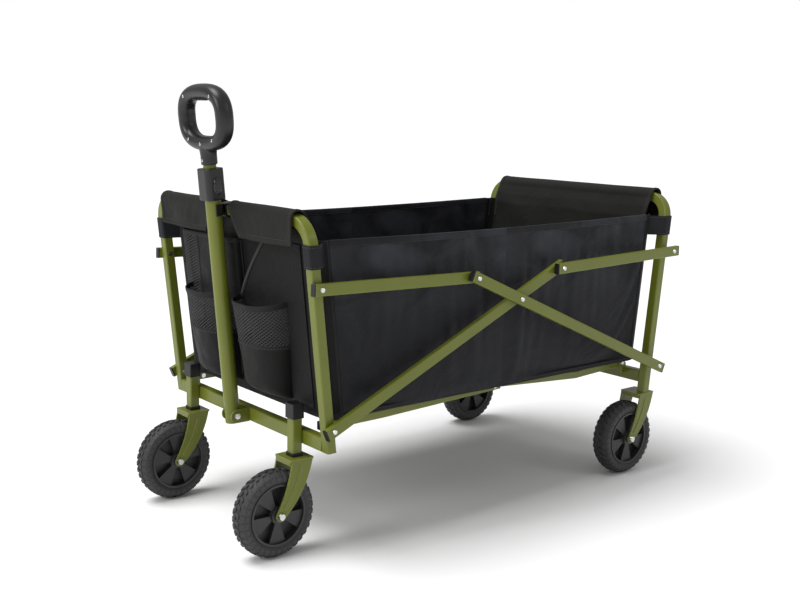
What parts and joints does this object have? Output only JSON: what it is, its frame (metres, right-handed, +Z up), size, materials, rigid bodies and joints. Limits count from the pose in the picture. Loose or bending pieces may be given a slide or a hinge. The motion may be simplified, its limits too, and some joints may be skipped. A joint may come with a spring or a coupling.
{
  "type": "folding wagon",
  "caption": "Folding camp wagon with a fabric tub on a scissor-linked steel frame, swivel front casters and a telescopic pull handle.",
  "frame": {"origin": "middle of the bounding box at floor level", "axes": "+X from the handle end to the rear end, +Y to the wagon's right side, +Z up"},
  "size_m": [1.1073, 0.6144, 0.8605],
  "materials": {
    "green_steel": "satin powder coat",
    "black_plastic": "fine moulded texture",
    "grip_plastic": "satin moulded",
    "zinc_steel": "zinc plated",
    "black_fabric": "woven polyester",
    "webbing": "woven webbing",
    "tyre": "matt",
    "hub_plastic": "satin moulded"
  },
  "bodies": {
    "front_frame": {"front_hoop": "green_steel", "front_crossbar": "green_steel", "caster_stems": "green_steel", "stem_caps": "black_plastic", "swivel_collars": "black_plastic", "swivel_kingpins": "zinc_steel", "handle_bracket": "green_steel", "front_bolts": "zinc_steel", "rail_clip": "black_plastic", "front_wall": "black_fabric", "front_flap": "black_fabric", "front_pockets": "black_fabric", "front_post_loops": "webbing", "front_side_walls": "black_fabric"},
    "arms_a": {"arms_a": "green_steel", "arms_a_caps": "black_plastic"},
    "arms_b": {"arms_b": "green_steel", "arms_b_caps": "black_plastic", "arm_rivets": "zinc_steel"},
    "rear_frame": {"rear_hoop": "green_steel", "rear_crossbar": "green_steel", "rear_forks": "green_steel", "rear_axles": "zinc_steel", "rear_bolts": "zinc_steel", "rear_wall": "black_fabric", "rear_flap": "black_fabric", "rear_post_loops": "webbing", "rear_side_walls": "black_fabric"},
    "links_front": {"links_front": "green_steel", "links_front_caps": "black_plastic"},
    "links_rear": {"links_rear": "green_steel", "links_rear_caps": "black_plastic", "link_rivets": "zinc_steel"},
    "floor_front": {"front_floor_frame": "green_steel", "front_floor_caps": "black_plastic", "floor_pins": "zinc_steel", "front_floor_panel": "black_fabric"},
    "floor_rear": {"rear_floor_frame": "green_steel", "rear_floor_caps": "black_plastic", "rear_floor_panel": "black_fabric"},
    "handle": {"handle_tube": "green_steel", "lock_collar": "grip_plastic"},
    "button": {"lock_button": "grip_plastic"},
    "grip": {"inner_tube": "green_steel", "grip_front_half": "grip_plastic", "grip_rear_half": "grip_plastic", "grip_insert": "grip_plastic", "grip_screws": "zinc_steel"},
    "caster_left": {"caster_fork_left": "green_steel", "caster_axle_left": "zinc_steel"},
    "caster_right": {"caster_fork_right": "green_steel", "caster_axle_right": "zinc_steel"},
    "wheel_front_left": {"tyre_front_left": "tyre", "hub_front_left": "hub_plastic"},
    "wheel_front_right": {"tyre_front_right": "tyre", "hub_front_right": "hub_plastic"},
    "wheel_rear_left": {"tyre_rear_left": "tyre", "hub_rear_left": "hub_plastic"},
    "wheel_rear_right": {"tyre_rear_right": "tyre", "hub_rear_right": "hub_plastic"}
  },
  "joints": [
    {"name": "fold", "type": "hinge", "parent": "front_frame", "child": "arms_a", "pos_m": [-0.407, 0, 0.249], "axis": [0, -1, 0], "range_deg": [0, 63.1], "deforming": ["front_side_walls", "rear_side_walls", "front_floor_panel", "rear_floor_panel"]},
    {"name": "arm_cross", "type": "hinge", "parent": "arms_a", "child": "arms_b", "pos_m": [0.043, 0, 0.446], "axis": [0, -1, 0], "range_deg": [-117.4, 0]},
    {"name": "rear_frame_tilt", "type": "hinge", "parent": "arms_b", "child": "rear_frame", "pos_m": [0.493, 0, 0.249], "axis": [0, -1, 0], "range_deg": [0, 63.2]},
    {"name": "front_link_hinge", "type": "hinge", "parent": "front_frame", "child": "links_front", "pos_m": [-0.43643, 0, 0.50733], "axis": [0, -1, 0], "range_deg": [0, 86.8]},
    {"name": "rear_link_hinge", "type": "hinge", "parent": "rear_frame", "child": "links_rear", "pos_m": [0.52243, 0, 0.50733], "axis": [0, -1, 0], "range_deg": [-86.8, 0]},
    {"name": "front_floor_hinge", "type": "hinge", "parent": "front_frame", "child": "floor_front", "pos_m": [-0.381, 0, 0.243], "axis": [0, -1, 0], "range_deg": [0, 87.6]},
    {"name": "rear_floor_hinge", "type": "hinge", "parent": "rear_frame", "child": "floor_rear", "pos_m": [0.467, 0, 0.243], "axis": [0, -1, 0], "range_deg": [-87.6, 0]},
    {"name": "handle_hinge", "type": "hinge", "parent": "front_frame", "child": "handle", "pos_m": [-0.442, 0, 0.219], "axis": [0, -1, 0], "range_deg": [0, 90]},
    {"name": "handle_slide", "type": "slide", "parent": "handle", "child": "grip", "axis": [-0.0958, 0, 0.9954], "range_m": [0, 0.3]},
    {"name": "button_press", "type": "slide", "parent": "handle", "child": "button", "axis": [0, 1, 0], "range_m": [0, 0.003], "stiffness_N_per_m": 400},
    {"name": "caster_swivel_left", "type": "hinge", "parent": "front_frame", "child": "caster_left", "pos_m": [-0.42423, -0.19, 0.183], "axis": [0, 0, 1], "continuous": true},
    {"name": "wheel_spin_front_left", "type": "hinge", "parent": "caster_left", "child": "wheel_front_left", "pos_m": [-0.47123, -0.19, 0.0825], "axis": [0, 1, 0], "continuous": true},
    {"name": "caster_swivel_right", "type": "hinge", "parent": "front_frame", "child": "caster_right", "pos_m": [-0.42423, 0.19, 0.183], "axis": [0, 0, 1], "continuous": true},
    {"name": "wheel_spin_front_right", "type": "hinge", "parent": "caster_right", "child": "wheel_front_right", "pos_m": [-0.47123, 0.19, 0.0825], "axis": [0, 1, 0], "continuous": true},
    {"name": "wheel_spin_rear_left", "type": "hinge", "parent": "rear_frame", "child": "wheel_rear_left", "pos_m": [0.43848, -0.253, 0.0825], "axis": [0, 1, 0], "continuous": true},
    {"name": "wheel_spin_rear_right", "type": "hinge", "parent": "rear_frame", "child": "wheel_rear_right", "pos_m": [0.43848, 0.253, 0.0825], "axis": [0, 1, 0], "continuous": true}
  ],
  "couplings": [
    {"joint": "arm_cross", "follows": "fold", "ratio": -1.8594},
    {"joint": "rear_frame_tilt", "follows": "fold", "ratio": 1},
    {"joint": "front_link_hinge", "follows": "fold", "ratio": 1.3737},
    {"joint": "rear_link_hinge", "follows": "fold", "ratio": -1.3737},
    {"joint": "front_floor_hinge", "follows": "fold", "ratio": 1.3866},
    {"joint": "rear_floor_hinge", "follows": "fold", "ratio": -1.3866}
  ]
}
